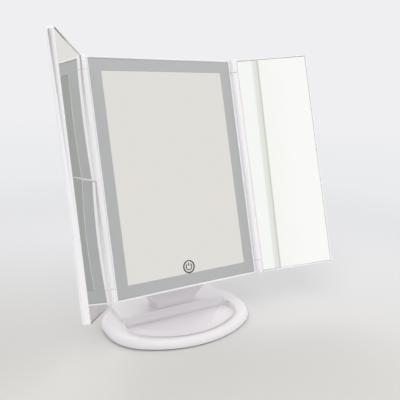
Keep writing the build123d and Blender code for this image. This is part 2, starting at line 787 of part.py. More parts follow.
# Rear cover of the head with corner blocks, and posts for the touch board
with BuildPart() as head_rear_cover:
    slab(panel, half_head_x, half_head_y, (-head_depth, -frame_depth), frame_corner)
    fillet(head_rear_cover.faces().sort_by(Axis(pivot, panel_out))[0].edges(), rear_round)
    mid_block(panel, half_head_x - rear_wall, half_head_y - rear_wall,
              (-head_depth + rear_wall, 0), Mode.SUBTRACT)
    for sx in (-1, 1):
        for sy in (-1, 1):
            block(panel, span(sx, half_head_x - gusset, half_head_x - rear_wall / 2),
                  span(sy, half_head_y - gusset, half_head_y - rear_wall / 2),
                  (-head_depth + rear_wall, -frame_depth))
    rods(panel, [(-touch_post_x, touch_board_y), (touch_post_x, touch_board_y)], post_radius,
         (-head_depth + rear_wall / 2,
          -glass_thickness - touch_pad_height - touch_board_thickness))
    rods(panel, corner_screws, screw_radius + slide_fit, (-head_depth, 0), Mode.SUBTRACT)
    rods(panel, corner_screws, screw_head_radius + slide_fit,
         (-head_depth, -head_depth + corner_sink), Mode.SUBTRACT)
    rods(panel, bracket_screws, screw_radius + slide_fit, (-head_depth, 0), Mode.SUBTRACT)
save(head_rear_cover, "head_rear_cover")

with BuildPart() as head_screws:
    screws(panel, corner_screws, -head_depth + corner_sink, corner_screw_length)
save(head_screws, "head_screws")

with BuildPart() as bracket_screw_set:
    screws(panel_back, bracket_screws, head_depth - rear_wall, bracket_screw_length)
save(bracket_screw_set, "bracket_screws")

with BuildPart() as hinge_pins:
    for side in (-1, 1):
        ear = Plane(origin=panel.from_local_coords(Vector(side * hinge_x, 0, hinge_forward)),
                    x_dir=(1, 0, 0), z_dir=panel_up)
        for end in (-1, 1):
            middle = end * (half_head_y - ear_length)
            rods(ear, [(0, 0)], hinge_pin_radius,
                 (middle - hinge_pin_reach, middle + hinge_pin_reach))
save(hinge_pins, "hinge_pins")

# Glass: clear mirror in the middle, frosted band round it, printed touch key
with BuildPart() as center_mirror:
    mid_block(panel, half_clear_x - pin_fit, half_clear_y - pin_fit, (-glass_thickness, 0))
save(center_mirror, "center_mirror")

with BuildPart() as light_band:
    mid_block(panel, half_glass_x, half_glass_y, (-glass_thickness, 0))
    mid_block(panel, half_clear_x, half_clear_y, (-glass_thickness, 0), Mode.SUBTRACT)
save(light_band, "light_band")

with BuildPart() as touch_icon:
    with BuildSketch(panel):
        with Locations((0, icon_y)):
            Circle(icon_radius)
            Circle(icon_radius - icon_line, mode=Mode.SUBTRACT)
            Circle(icon_arc_radius)
            Circle(icon_arc_radius - icon_arc_line, mode=Mode.SUBTRACT)
        with Locations((0, icon_y + icon_arc_radius)):
            Rectangle(icon_gap + icon_arc_line, icon_arc_radius, mode=Mode.SUBTRACT)
        with Locations((0, icon_y + icon_bar - icon_arc_line)):
            Rectangle(icon_arc_line, icon_bar)
    extrude(amount=icon_print)
save(touch_icon, "touch_icon")

# Light channel, its boards and the light sources
with BuildPart() as light_channel:
    mid_block(panel, channel_x, channel_y,
              (channel_rear, -glass_thickness - ledge_thickness))
    mid_block(panel, channel_x - channel_wall, channel_y - channel_wall, (led_seat, 0),
              Mode.SUBTRACT)
    mid_block(panel, half_clear_x + joint_half, half_clear_y + joint_half,
              (channel_rear, -glass_thickness))
    mid_block(panel, half_clear_x - joint_half, half_clear_y - joint_half,
              (channel_rear, 0), Mode.SUBTRACT)
    notch = gusset + channel_gap
    for sx in (-1, 1):
        for sy in (-1, 1):
            block(panel, span(sx, half_head_x - notch, half_head_x),
                  span(sy, half_head_y - notch, half_head_y), (-head_depth, 0), Mode.SUBTRACT)
save(light_channel, "light_channel")

side_board_x = (half_clear_x + joint_half + channel_x - channel_wall) / 2
end_board_y = (half_clear_y + joint_half + channel_y - channel_wall) / 2
led_face = led_seat + led_board_thickness
with BuildPart() as led_boards:
    for sign in (-1, 1):
        x = sign * side_board_x
        y = sign * end_board_y
        block(panel, (x - led_board_width / 2, x + led_board_width / 2),
              (-side_board_length / 2, side_board_length / 2), (led_seat, led_face))
        block(panel, (-end_board_length / 2, end_board_length / 2),
              (y - led_board_width / 2, y + led_board_width / 2), (led_seat, led_face))
save(led_boards, "led_boards")

side_reach = side_board_length / 2 - led_end_margin
end_reach = end_board_length / 2 - led_end_margin
side_step = 2 * side_reach / (side_led_count - 1)
end_step = 2 * end_reach / (end_led_count - 1)
with BuildPart() as led_chips:
    with BuildSketch(panel.offset(led_face)):
        for sign in (-1, 1):
            side_places = [(sign * side_board_x, i * side_step - side_reach)
                           for i in range(side_led_count)]
            end_places = [(i * end_step - end_reach, sign * end_board_y)
                          for i in range(end_led_count)]
            with Locations(*side_places):
                Rectangle(led_wide, led_long)
            with Locations(*end_places):
                Rectangle(led_long, led_wide)
    extrude(amount=led_high)
save(led_chips, "led_chips")

# Touch board on its posts, with a soft sensor pad against the glass
touch_front = -glass_thickness - touch_pad_height
with BuildPart() as touch_board:
    block(panel, (-touch_board_width / 2, touch_board_width / 2),
          (touch_board_y - touch_board_height / 2, touch_board_y + touch_board_height / 2),
          (touch_front - touch_board_thickness, touch_front))
save(touch_board, "touch_board")

with BuildPart() as touch_pad:
    rods(panel, [(0, icon_y)], touch_pad_radius, (touch_front, -glass_thickness))
save(touch_pad, "touch_pad")

# Wings
for side, name, fold in ((-1, "left", left_fold), (1, "right", right_fold)):
    wing = wing_plane(side, fold)
    knuckle = Plane(origin=wing.origin, x_dir=wing.x_dir, z_dir=panel_up)
    wing_middle = (wing_inner_edge + wing_width) / 2
    wing_half = (wing_width - wing_inner_edge) / 2
    middle_plane = Plane(origin=wing.from_local_coords(Vector(side * wing_middle, 0, 0)),
                         x_dir=wing.x_dir, z_dir=wing.z_dir)
    glass_x = span(side, mirror_inner, mirror_outer)

    with BuildPart() as wing_shell:
        slab(middle_plane, wing_half, half_head_y, (wing_seam, wing_front), wing_corner)
        block(wing, span(side, 0, wing_inner_edge + wing_inner_wall), (-barrel_half, barrel_half),
              (barrel_web_inset - barrel_radius, wing_front))
        rods(knuckle, [(0, 0)], barrel_radius, (-barrel_half, barrel_half))
        for pane, low, high, dish in wing_mirrors[name]:
            block(wing, (glass_x[0] - slide_fit, glass_x[1] + slide_fit),
                  (low - slide_fit, high + slide_fit), (wing_floor_top, wing_front),
                  Mode.SUBTRACT)
        bore = hinge_pin_reach + end_float
        for start in (-barrel_half, barrel_half - bore):
            rods(knuckle, [(0, 0)], hinge_pin_radius + running_fit, (start, start + bore),
                 Mode.SUBTRACT)
    save(wing_shell, f"{name}_wing_shell")

    with BuildPart() as wing_back:
        slab(middle_plane, wing_half, half_head_y, (wing_rear, wing_seam), wing_corner)
        fillet(wing_back.faces().sort_by(Axis(wing.origin, wing.z_dir))[0].edges(), wing_round)
    save(wing_back, f"{name}_wing_back")

    pad_tops = []
    for pane, low, high, dish in wing_mirrors[name]:
        middle_x = (glass_x[0] + glass_x[1]) / 2
        middle_y = (low + high) / 2
        half_diagonal = hypot(glass_x[1] - glass_x[0], high - low) / 2
        sag = dish - sqrt(dish ** 2 - half_diagonal ** 2) if dish else 0.0
        glass_low = wing_mirror_face - sag - wing_mirror_thickness
        pad_tops.append((middle_x, middle_y, glass_low - (slide_fit if dish else 0.0)))
        with BuildPart() as wing_mirror:
            block(wing, glass_x, (low, high), (glass_low, wing_mirror_face))
            if dish:
                ball = wing.location * Location((middle_x, middle_y,
                                                 wing_mirror_face - sag + dish))
                with Locations(ball):
                    Sphere(dish, mode=Mode.SUBTRACT)
                    Sphere(dish + wing_mirror_thickness, mode=Mode.INTERSECT)
        save(wing_mirror, pane)

    with BuildPart() as wing_pads:
        for middle_x, middle_y, top in pad_tops:
            for row in pad_rows[name]:
                block(wing, (middle_x - pad_size / 2, middle_x + pad_size / 2),
                      (middle_y + row - pad_size / 2, middle_y + row + pad_size / 2),
                      (wing_floor_top, top))
    save(wing_pads, f"{name}_wing_pads")
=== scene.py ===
"""Looks of a trifold light-up vanity mirror on a tray base.

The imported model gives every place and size. This script models the visible
pieces in finer form, dresses them, and sets up a plain studio.
"""

import json
import logging
import math
from dataclasses import dataclass, field
from enum import Enum
from typing import Callable, Sequence

import bpy
from mathutils import Matrix, Vector


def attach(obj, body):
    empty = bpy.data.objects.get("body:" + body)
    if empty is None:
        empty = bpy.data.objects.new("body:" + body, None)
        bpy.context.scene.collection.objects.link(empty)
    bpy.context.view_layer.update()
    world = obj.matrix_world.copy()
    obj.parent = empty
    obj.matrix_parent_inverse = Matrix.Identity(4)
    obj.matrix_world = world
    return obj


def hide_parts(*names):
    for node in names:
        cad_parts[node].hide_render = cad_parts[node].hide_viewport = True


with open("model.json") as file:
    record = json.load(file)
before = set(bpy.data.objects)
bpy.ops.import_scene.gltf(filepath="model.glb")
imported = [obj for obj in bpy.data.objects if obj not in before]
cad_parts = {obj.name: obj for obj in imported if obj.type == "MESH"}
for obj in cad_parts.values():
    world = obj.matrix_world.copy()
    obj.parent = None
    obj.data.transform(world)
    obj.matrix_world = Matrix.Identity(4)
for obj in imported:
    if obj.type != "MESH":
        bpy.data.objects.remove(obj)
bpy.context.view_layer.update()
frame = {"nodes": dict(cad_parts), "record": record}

log = logging.getLogger("mirror")
MM = 0.001
WELD = 2e-6
CORNER = math.radians(60)
FLAT_WEIGHT = 80
GLASS_CREASE = 20.0
FLAT_STEPS = (2, 2)
DISH_STEPS = (28, 40)
Color = tuple[float, float, float]
Tone = tuple[int, int, int]
Point = tuple[float, float, float]


class Side(Enum):
    """Side of the head that a wing hangs on, as the sign of X."""

    LEFT = -1
    RIGHT = 1


# Colours and node trees


def linear(value: int) -> float:
    """Linear share of an 8-bit display value."""
    part = value / 255
    return part / 12.92 if part <= 0.04045 else ((part + 0.055) / 1.055) ** 2.4


def srgb(red: int, green: int, blue: int) -> Color:
    """Linear colour from 8-bit display values."""
    return linear(red), linear(green), linear(blue)


def rgba(color: Color) -> tuple[float, float, float, float]:
    """Colour with full alpha."""
    return (*color, 1.0)


@dataclass(frozen=True)
class NodeBench:
    """Adds and wires the nodes of one tree.

    Attributes:
        tree: Tree to work in.
    """

    tree: bpy.types.NodeTree

    def add(self, kind: str, **settings: object) -> bpy.types.Node:
        """Adds a node with some of its properties set."""
        node = self.tree.nodes.new(kind)
        for key, value in settings.items():
            setattr(node, key, value)
        return node

    def feed(self, socket: bpy.types.NodeSocket, value: object) -> None:
        """Links a value to a socket, or writes a constant on it."""
        if isinstance(value, bpy.types.NodeSocket):
            self.tree.links.new(value, socket)
        else:
            socket.default_value = value

    def span(
        self, value: bpy.types.NodeSocket, ends: tuple[float, float], smooth_ends: bool = False
    ) -> bpy.types.NodeSocket:
        """Share that runs from 0 at one value to 1 at another.

        Args:
            value: The value.
            ends: Where the share is 0 and where it is 1.
            smooth_ends: Whether it eases in and out.

        Returns:
            The share.
        """
        kind = "SMOOTHSTEP" if smooth_ends else "LINEAR"
        node = self.add("ShaderNodeMapRange", interpolation_type=kind)
        self.feed(node.inputs["Value"], value)
        node.inputs["From Min"].default_value, node.inputs["From Max"].default_value = ends
        return node.outputs["Result"]

    def maths(self, operation: str, first: object, second: object) -> bpy.types.NodeSocket:
        """Result of a sum on two numbers."""
        node = self.add("ShaderNodeMath", operation=operation)
        self.feed(node.inputs[0], first)
        self.feed(node.inputs[1], second)
        return node.outputs[0]

    def noise(
        self, where: bpy.types.NodeSocket, scale: object, detail: float
    ) -> bpy.types.NodeSocket:
        """Noise at a place.

        Args:
            where: Place where it is read.
            scale: How fine it is, as a number or a socket.
            detail: Number of finer layers in it.

        Returns:
            The noise, from 0 to 1.
        """
        node = self.add("ShaderNodeTexNoise")
        self.feed(node.inputs["Vector"], where)
        self.feed(node.inputs["Scale"], scale)
        node.inputs["Detail"].default_value = detail
        return node.outputs["Fac"]

    def along(self, vector: bpy.types.NodeSocket, direction: Point) -> bpy.types.NodeSocket:
        """Length of a vector along a direction."""
        node = self.add("ShaderNodeVectorMath", operation="DOT_PRODUCT")
        self.feed(node.inputs[0], vector)
        node.inputs[1].default_value = direction
        return node.outputs["Value"]

    def ramp(
        self, share: bpy.types.NodeSocket, tones: Sequence[tuple[float, Tone]]
    ) -> bpy.types.NodeSocket:
        """Colour that runs through some tones.

        Args:
            share: Place in the ramp.
            tones: Places, from 0 on, with their 8-bit display values.

        Returns:
            The colour.
        """
        node = self.add("ShaderNodeValToRGB")
        elements = node.color_ramp.elements
        elements.remove(elements[1])
        elements[0].color = rgba(srgb(*tones[0][1]))
        for spot, tone in tones[1:]:
            elements.new(spot).color = rgba(srgb(*tone))
        self.feed(node.inputs["Fac"], share)
        return node.outputs["Color"]

    def colors(self, share: object, first: object, second: object) -> bpy.types.NodeSocket:
        """Mix of two colours."""
        node = self.add("ShaderNodeMix", data_type="RGBA")
        self.feed(node.inputs["Factor"], share)
        self.feed(node.inputs["A"], first)
        self.feed(node.inputs["B"], second)
        return node.outputs["Result"]

    def shaders(
        self, share: object, first: bpy.types.NodeSocket, second: bpy.types.NodeSocket
    ) -> bpy.types.NodeSocket:
        """Mix of two shaders."""
        node = self.add("ShaderNodeMixShader")
        self.feed(node.inputs["Fac"], share)
        self.feed(node.inputs[1], first)
        self.feed(node.inputs[2], second)
        return node.outputs[0]

    def background(self, color: object, strength: float = 1.0) -> bpy.types.NodeSocket:
        """Light of the surroundings in one colour."""
        node = self.add("ShaderNodeBackground")
        self.feed(node.inputs["Color"], color)
        node.inputs["Strength"].default_value = strength
        return node.outputs[0]


def surface_group() -> bpy.types.NodeTree:
    """Shared moulding effect: slow tone drift, roughness drift and a fine grain.

    Returns:
        The node group, built once.
    """
    name = "moulded_surface"
    if name in bpy.data.node_groups:
        return bpy.data.node_groups[name]
    speck_level, drift_relief, middle = 0.74, 0.6, 0.5
    tree = bpy.data.node_groups.new(name, "ShaderNodeTree")
    face = tree.interface
    face.new_socket(name="Color", in_out="INPUT", socket_type="NodeSocketColor")
    for label, default in (("Tone Drift", 0.02), ("Roughness", 0.2), ("Roughness Drift", 0.05),
                           ("Grain Scale", 900.0), ("Drift Scale", 14.0), ("Dust", 0.0)):
        socket = face.new_socket(name=label, in_out="INPUT", socket_type="NodeSocketFloat")
        socket.default_value = default
    face.new_socket(name="Color", in_out="OUTPUT", socket_type="NodeSocketColor")
    face.new_socket(name="Roughness", in_out="OUTPUT", socket_type="NodeSocketFloat")
    face.new_socket(name="Height", in_out="OUTPUT", socket_type="NodeSocketFloat")
    bench = NodeBench(tree)
    start = bench.add("NodeGroupInput").outputs
    end = bench.add("NodeGroupOutput").inputs
    where = bench.add("ShaderNodeTexCoord").outputs["Object"]
    drift = bench.noise(where, start["Drift Scale"], 2.0)
    grain = bench.noise(where, start["Grain Scale"], 3.0)
    specks = bench.noise(where, 420.0, 1.0)
    centered = bench.maths("SUBTRACT", drift, middle)
    tone = bench.maths("MULTIPLY", centered, start["Tone Drift"])
    dust = bench.maths("MULTIPLY", bench.maths("GREATER_THAN", specks, speck_level),
                       start["Dust"])
    tint = bench.add("ShaderNodeVectorMath", operation="SCALE")
    bench.feed(tint.inputs[0], start["Color"])
    bench.feed(tint.inputs["Scale"], bench.maths("SUBTRACT", bench.maths("ADD", tone, 1.0), dust))
    bench.feed(end["Color"], tint.outputs[0])
    rough = bench.maths("MULTIPLY", centered, start["Roughness Drift"])
    rough = bench.maths("ADD", rough, start["Roughness"])
    bench.feed(end["Roughness"], bench.maths("ADD", rough, dust))
    relief = bench.maths("MULTIPLY", centered, drift_relief)
    bench.feed(end["Height"], bench.maths("ADD", grain, relief))
    return tree


def principled(name: str) -> tuple[bpy.types.Material, bpy.types.Node]:
    """New material with a Principled shader.

    Args:
        name: Name of the material.

    Returns:
        The material and its Principled shader.
    """
    material = bpy.data.materials.new(name)
    material.use_nodes = True
    shader = next(n for n in material.node_tree.nodes if n.type == "BSDF_PRINCIPLED")
    return material, shader


def dress_with_group(
    material: bpy.types.Material,
    shader: bpy.types.Node,
    color: Color,
    values: dict[str, float],
    bump: float,
    distance: float,
) -> None:
    """Feeds colour, roughness and bump of a shader from the shared group.

    Args:
        material: Material to work in.
        shader: Its Principled shader.
        color: Base colour.
        values: Inputs of the group by name.
        bump: Strength of the bump.
        distance: Depth of the bump in metres.
    """
    bench = NodeBench(material.node_tree)
    group = bench.add("ShaderNodeGroup", node_tree=surface_group())
    group.inputs["Color"].default_value = rgba(color)
    for label, value in values.items():
        group.inputs[label].default_value = value
    relief = bench.add("ShaderNodeBump")
    relief.inputs["Strength"].default_value = bump
    relief.inputs["Distance"].default_value = distance
    bench.feed(shader.inputs["Base Color"], group.outputs["Color"])
    bench.feed(shader.inputs["Roughness"], group.outputs["Roughness"])
    bench.feed(relief.inputs["Height"], group.outputs["Height"])
    bench.feed(shader.inputs["Normal"], relief.outputs["Normal"])


# Finishes


@dataclass(frozen=True)
class MouldedFinish:
    """Injection-moulded plastic, rubber or foam.

    Attributes:
        name: Name of the material.
        color: Base colour.
        roughness: Mean roughness.
        grain: Scale of the fine texture.
        bump: Strength of the fine texture.
        drift: How far the tone wanders.
        coat: Weight of a clear gloss over it.
        dust: Weight of fine specks.
        coat_roughness: Roughness of the gloss.
        refraction: Index of refraction.
        unevenness: Share of the roughness by which it wanders.
        depth: Depth of the fine texture in metres.
    """

    name: str
    color: Color
    roughness: float
    grain: float = 900.0
    bump: float = 0.06
    drift: float = 0.025
    coat: float = 0.0
    dust: float = 0.0
    coat_roughness: float = 0.08
    refraction: float = 1.5
    unevenness: float = 0.3
    depth: float = 0.0001

    def build(self) -> bpy.types.Material:
        """Makes the material."""
        material, shader = principled(self.name)
        shader.inputs["Coat Weight"].default_value = self.coat
        shader.inputs["Coat Roughness"].default_value = self.coat_roughness
        shader.inputs["IOR"].default_value = self.refraction
        values = {"Tone Drift": self.drift, "Roughness": self.roughness,
                  "Roughness Drift": self.roughness * self.unevenness,
                  "Grain Scale": self.grain, "Dust": self.dust}
        dress_with_group(material, shader, self.color, values, self.bump, self.depth)
        return material


@dataclass(frozen=True)
class SilveredFinish:
    """Silvered glass with a trace of wiping haze.

    Attributes:
        name: Name of the material.
        tint: Colour of the reflection.
        haze: Added roughness where the glass was wiped.
        polish: Roughness of the clean glass.
        wiped: Noise where the haze starts and is full.
        turn: Turn of the wiping marks in radians.
        stretch: How fine the wiping marks are along each axis.
        detail: Number of finer layers in them.
    """

    name: str
    tint: Color
    haze: float = 0.015
    polish: float = 0.004
    wiped: tuple[float, float] = (0.52, 0.85)
    turn: Point = (0.0, 0.5, 0.6)
    stretch: Point = (6.0, 30.0, 90.0)
    detail: float = 4.0

    def build(self) -> bpy.types.Material:
        """Makes the material."""
        material, shader = principled(self.name)
        bench = NodeBench(material.node_tree)
        stretched = bench.add("ShaderNodeMapping")
        bench.feed(stretched.inputs["Vector"], bench.add("ShaderNodeTexCoord").outputs["Object"])
        stretched.inputs["Rotation"].default_value = self.turn
        stretched.inputs["Scale"].default_value = self.stretch
        hazed = bench.add("ShaderNodeMapRange")
        bench.feed(hazed.inputs["Value"],
                   bench.noise(stretched.outputs["Vector"], 1.0, self.detail))
        hazed.inputs["From Min"].default_value, hazed.inputs["From Max"].default_value = self.wiped
        hazed.inputs["To Min"].default_value = self.polish
        hazed.inputs["To Max"].default_value = self.polish + self.haze
        bench.feed(shader.inputs["Roughness"], hazed.outputs["Result"])
        shader.inputs["Base Color"].default_value = rgba(self.tint)
        shader.inputs["Metallic"].default_value = 1.0
        return material


@dataclass(frozen=True)
class EtchedFinish:
    """Etched band of a silvered pane, with the light off.

    Attributes:
        name: Name of the material.
        color: Colour of the etched face.
        roughness: Mean roughness.
        metallic: Share of the silver that shows through.
        bump: Strength of the etching.
        depth: Depth of the etching in metres.
    """

    name: str
    color: Color
    roughness: float
    metallic: float
    bump: float = 0.12
    depth: float = 0.00005

    def build(self) -> bpy.types.Material:
        """Makes the material."""
        material, shader = principled(self.name)
        shader.inputs["Metallic"].default_value = self.metallic
        values = {"Tone Drift": 0.03, "Roughness": self.roughness, "Roughness Drift": 0.06,
                  "Grain Scale": 2600.0, "Drift Scale": 9.0}
        dress_with_group(material, shader, self.color, values, self.bump, self.depth)
        return material


@dataclass(frozen=True)
class SteelFinish:
    """Plated or turned metal with fine lines.

    Attributes:
        name: Name of the material.
        color: Colour of the metal.
        roughness: Mean roughness.
        bump: Strength of the fine lines.
        depth: Depth of the fine lines in metres.
    """

    name: str
    color: Color
    roughness: float
    bump: float = 0.1
    depth: float = 0.00005

    def build(self) -> bpy.types.Material:
        """Makes the material."""
        material, shader = principled(self.name)
        shader.inputs["Metallic"].default_value = 1.0
        values = {"Tone Drift": 0.12, "Roughness": self.roughness, "Roughness Drift": 0.15,
                  "Grain Scale": 1500.0, "Drift Scale": 60.0}
        dress_with_group(material, shader, self.color, values, self.bump, self.depth)
        return material


Finish = MouldedFinish | SilveredFinish | EtchedFinish | SteelFinish

FINISHES: dict[str, Finish] = {
    "shell_plastic": MouldedFinish("gloss_white_shell", srgb(243, 242, 245), 0.16, coat=0.35,
                                   grain=520.0, bump=0.03),
    # Painted shade: the same white plastic as the shell above, given a darker colour to stand in
    # for the shade on the base and neck.
    "base_plastic": MouldedFinish("gloss_base_shell", srgb(233, 230, 233), 0.2, coat=0.35,
                                  grain=520.0, bump=0.03),
    "under_plastic": MouldedFinish("satin_white_cover", srgb(228, 227, 230), 0.42, bump=0.2,
                                   grain=1800.0),
    "inner_plastic": MouldedFinish("plain_white_inner", srgb(234, 234, 235), 0.38),
    "foot_rubber": MouldedFinish("pale_rubber", srgb(190, 190, 192), 0.75, bump=0.35,
                                 grain=1500.0, dust=0.08),
    "screw_steel": SteelFinish("plated_screw", srgb(186, 189, 193), 0.28),
    "contact_metal": SteelFinish("nickel_plate", srgb(205, 206, 208), 0.18),
    "board_plastic": MouldedFinish("white_solder_mask", srgb(226, 231, 224), 0.32, grain=1200.0,
                                   bump=0.15),
    "black_plastic": MouldedFinish("black_satin", srgb(32, 32, 34), 0.4, bump=0.15),
    "mirror_glass": SilveredFinish("silvered_glass", srgb(250, 250, 249)),
    "frosted_glass": EtchedFinish("etched_band", srgb(183, 185, 187), 0.34, 0.25),
    "icon_print": MouldedFinish("key_print", srgb(72, 71, 68), 0.45, bump=0.1),
    "led_lens": MouldedFinish("phosphor_window", srgb(238, 214, 132), 0.25),
    "soft_foam": MouldedFinish("closed_foam", srgb(58, 59, 61), 0.85, bump=0.6, grain=700.0),
}


# Modelling helpers


def deselect() -> None:
    """Leaves object mode with nothing selected."""
    if bpy.context.object and bpy.context.object.mode != "OBJECT":
        bpy.ops.object.mode_set(mode="OBJECT")
    bpy.ops.object.select_all(action="DESELECT")


def activate(piece: bpy.types.Object) -> None:
    """Makes one object the only selected and active one."""
    deselect()
    piece.select_set(True)
    bpy.context.view_layer.objects.active = piece


def edit(piece: bpy.types.Object, work: Callable[[], None]) -> None:
    """Runs some edit-mode operators on a piece with everything in it selected.

    Args:
        piece: Object to edit.
        work: What to do while in edit mode.
    """
    activate(piece)
    bpy.ops.object.mode_set(mode="EDIT")
    bpy.ops.mesh.select_all(action="SELECT")
    work()
    bpy.ops.object.mode_set(mode="OBJECT")


def apply_modifier(piece: bpy.types.Object, kind: str, **settings: object) -> None:
    """Adds a modifier, sets it and applies it.

    Args:
        piece: Object to change.
        kind: Type of the modifier.
        **settings: Its properties by name.
    """
    activate(piece)
    modifier = piece.modifiers.new(kind.lower(), kind)
    for key, value in settings.items():
        setattr(modifier, key, value)
    bpy.ops.object.modifier_apply(modifier=modifier.name)


def smooth(piece: bpy.types.Object, degrees: float = 30.0) -> None:
    """Smooth shading, with edges sharper than an angle kept crisp."""
    activate(piece)
    bpy.ops.object.shade_smooth_by_angle(angle=math.radians(degrees))


def place(piece: bpy.types.Object, matrix: Matrix) -> None:
    """Moves the shape of a piece into its place and leaves its object at the origin.

    Args:
        piece: Object to place.
        matrix: From the piece's own axes, in metres, to the shared frame.
    """
    piece.data.transform(matrix @ piece.matrix_world)
    piece.matrix_world = Matrix.Identity(4)
    piece.data.update()


@dataclass
class Wardrobe:
    """Materials by slot, each built once."""

    made: dict[str, bpy.types.Material] = field(default_factory=dict)

    def get(self, slot: str) -> bpy.types.Material:
        """Material of a slot."""
        if slot not in self.made:
            self.made[slot] = FINISHES[slot].build()
        return self.made[slot]

    def dress(self, piece: bpy.types.Object, slot: str) -> None:
        """Gives a piece the material of a slot, all over."""
        piece.data.materials.clear()
        piece.data.materials.append(self.get(slot))


WARDROBE = Wardrobe()


def settle(piece: bpy.types.Object, name: str, body: str, slot: str, *nodes: str) -> None:
    """Names a finished piece, dresses it and ties it to the frame.

    Args:
        piece: The finished piece.
        name: Its name.
        body: Rigid body that it rides on.
        slot: Material slot of the record.
        *nodes: Nodes of the model that it stands for.
    """
    piece.name = name
    if not piece.data.materials:
        WARDROBE.dress(piece, slot)
    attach(piece, body)
    if nodes:
        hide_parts(*nodes)
    log.info("piece %s on %s, %d faces", name, body, len(piece.data.polygons))


def closed_copy(node: str, name: str, flatten: float = 0.0) -> bpy.types.Object:
    """Copy of a model node with its loose triangles joined.

    Args:
        node: Node of the model.
        name: Name of the copy.
        flatten: Degrees within which faces become one, or 0 to keep the triangles.

    Returns:
        The copy, with no material.
    """
    piece = bpy.data.objects.new(name, frame["nodes"][node].data.copy())
    bpy.context.scene.collection.objects.link(piece)
    piece.data.materials.clear()

    def clean() -> None:
        """Joins the triangles."""
        bpy.ops.mesh.remove_doubles(threshold=WELD)
        if flatten:
            bpy.ops.mesh.dissolve_limited(angle_limit=math.radians(flatten))

    edit(piece, clean)
    return piece


def moulded(node: str, name: str, body: str, slot: str) -> bpy.types.Object:
    """Closed, smooth-shaded copy of a model node, whose flat faces stay flat.

    Args:
        node: Node of the model.
        name: Name of the new piece.
        body: Rigid body that it rides on.
        slot: Material slot of the record.

    Returns:
        The new piece.
    """
    piece = closed_copy(node, name)
    smooth(piece)
    apply_modifier(piece, "WEIGHTED_NORMAL", mode="FACE_AREA", weight=FLAT_WEIGHT, keep_sharp=True)
    settle(piece, name, body, slot, node)
    return piece


@dataclass(frozen=True)
class CrossRecess:
    """Cross recess cut into screw heads, in millimetres.

    Attributes:
        reach: Length of one arm from the middle.
        slot: Width of an arm.
        depth: Depth of the recess.
        spread: Distance within which points belong to one screw.
        face: Depth of the points that count as the head's outer face.
        flatten: Degrees within which faces of the head become one.
        round: Radius of the eased edge of the head.
    """

    reach: float = 1.15
    slot: float = 0.45
    depth: float = 0.75
    spread: float = 4.8
    face: float = 0.02
    flatten: float = 0.4
    round: float = 0.3

    def heads(self, piece: bpy.types.Object, out: Vector) -> list[Vector]:
        """Middle of each screw head's outer face.

        Args:
            piece: Screws in one mesh.
            out: Direction that the heads face.

        Returns:
            One point for each screw, in metres.
        """
        groups: list[list[Vector]] = []
        for vertex in piece.data.vertices:
            flat = vertex.co - out * vertex.co.dot(out)
            for group in groups:
                first = group[0] - out * group[0].dot(out)
                if (flat - first).length < self.spread * MM:
                    group.append(vertex.co.copy())
                    break
            else:
                groups.append([vertex.co.copy()])
        middles = []
        for group in groups:
            top = max(point.dot(out) for point in group)
            face = [point for point in group if point.dot(out) > top - self.face * MM]
            low = Vector(min(point[axis] for point in face) for axis in range(3))
            high = Vector(max(point[axis] for point in face) for axis in range(3))
            middles.append((low + high) / 2)
        return middles

    def cutter(self, middle: Vector, out: Vector) -> bpy.types.Object:
        """Cross-shaped block that stands in one head.

        Args:
            middle: Middle of the head's outer face.
            out: Direction that the head faces.

        Returns:
            The block as one mesh object.
        """
        arms = []
        for turn in (0.0, math.pi / 2):
            deselect()
            bpy.ops.mesh.primitive_cube_add(size=1.0)
            arm = bpy.context.active_object
            size = (2 * self.reach * MM, self.slot * MM, 2 * self.depth * MM)
            edit(arm, lambda: bpy.ops.transform.resize(value=size))
            arm.data.transform(Matrix.Rotation(turn, 4, "Z"))
            arms.append(arm)
        apply_modifier(arms[0], "BOOLEAN", object=arms[1], operation="UNION", solver="EXACT")
        bpy.data.objects.remove(arms[1], do_unlink=True)
        turn_out = out.to_track_quat("Z", "Y").to_matrix().to_4x4()
        place(arms[0], Matrix.Translation(middle) @ turn_out)
        return arms[0]

    def build(self, node: str, name: str, body: str, out: Vector) -> None:
        """Makes a set of screws from a model node.

        Args:
            node: Node of the model.
            name: Name of the new piece.
            body: Rigid body that it rides on.
            out: Direction that the heads face.
        """
        piece = closed_copy(node, name, self.flatten)
        apply_modifier(piece, "BEVEL", width=self.round * MM, segments=3, limit_method="ANGLE",
                       angle_limit=CORNER, use_clamp_overlap=True)
        for middle in self.heads(piece, out):
            block = self.cutter(middle, out)
            apply_modifier(piece, "BOOLEAN", object=block, operation="DIFFERENCE",
                           solver="EXACT")
            bpy.data.objects.remove(block, do_unlink=True)
        smooth(piece)
        settle(piece, name, body, "screw_steel", node)


# Planes of the head


@dataclass(frozen=True)
class HeadPose:
    """Where the head and its wings stand, in millimetres and degrees.

    Attributes:
        tilt: Lean behind vertical.
        center: Middle of the centre glass.
        hinge_x: Hinge line from the middle of the head.
        hinge_forward: Hinge line in front of the glass.
        left_fold: How far the left wing is folded in from flat.
        right_fold: How far the right wing is folded in from flat.
    """

    tilt: float = 18.0
    center: Point = (0.0, 18.3, 168.0)
    hinge_x: float = 89.2
    hinge_forward: float = 1.5
    left_fold: float = 58.0
    right_fold: float = 21.0

    def panel(self) -> Matrix:
        """From the glass's own axes to the shared frame."""
        lean = math.radians(self.tilt)
        turn = Matrix.Rotation(math.pi / 2 - lean, 4, "X")
        return Matrix.Translation(Vector(self.center) * MM) @ turn

    def wing(self, side: Side, fold: float) -> Matrix:
        """From a wing's own axes to the shared frame.

        Args:
            side: Side of the head.
            fold: Angle folded in from flat.

        Returns:
            The matrix, in metres.
        """
        shift = Vector((side.value * self.hinge_x, 0.0, self.hinge_forward)) * MM
        turn = Matrix.Rotation(-side.value * math.radians(fold), 4, "Y")
        return self.panel() @ Matrix.Translation(shift) @ turn


POSE = HeadPose()


